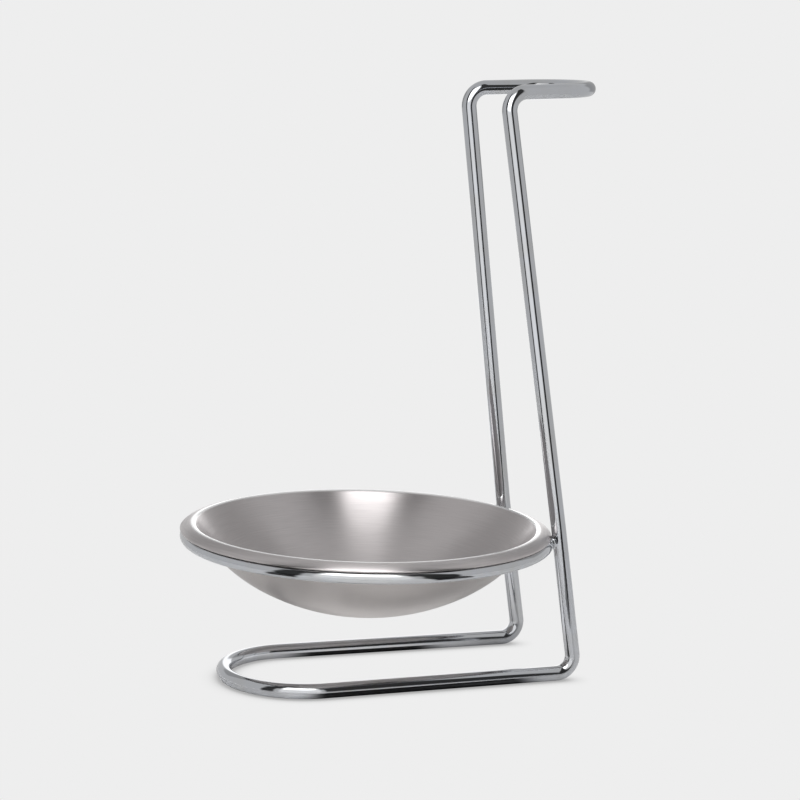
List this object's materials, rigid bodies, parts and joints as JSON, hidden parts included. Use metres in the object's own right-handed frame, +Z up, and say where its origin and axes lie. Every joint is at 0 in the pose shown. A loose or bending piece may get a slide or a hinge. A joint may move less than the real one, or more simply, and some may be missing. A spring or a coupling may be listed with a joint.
{
  "type": "razor stand",
  "caption": "Leaning chrome wire stand: a bow-fronted base, two uprights with a U-shaped hook on top, and a ring that holds a loose lipped steel dish which lifts out.",
  "frame": {"origin": "on the ground, in the middle of the stand's bounding box", "axes": "+Z up; X = 0 is the plane of symmetry; the dish is towards -Y and the hook opens towards +Y"},
  "size_m": [0.1252, 0.1384, 0.2004],
  "materials": {
    "frame_chrome": "polished chrome plate on steel wire",
    "ring_chrome": "polished chrome plate on steel wire",
    "weld_chrome": "chrome plate over squeezed-out weld metal",
    "bowl_steel": "satin-brushed stainless steel sheet, brushed in rings"
  },
  "bodies": {
    "frame": {"frame_wire": "frame_chrome", "bowl_ring": "ring_chrome", "weld_left": "weld_chrome", "weld_right": "weld_chrome"},
    "bowl": {"bowl": "bowl_steel"}
  },
  "joints": [
    {"name": "bowl_lift", "type": "slide", "parent": "frame", "child": "bowl", "axis": [0, -0.2079, 0.9781], "range_m": [0, 0.06]}
  ]
}
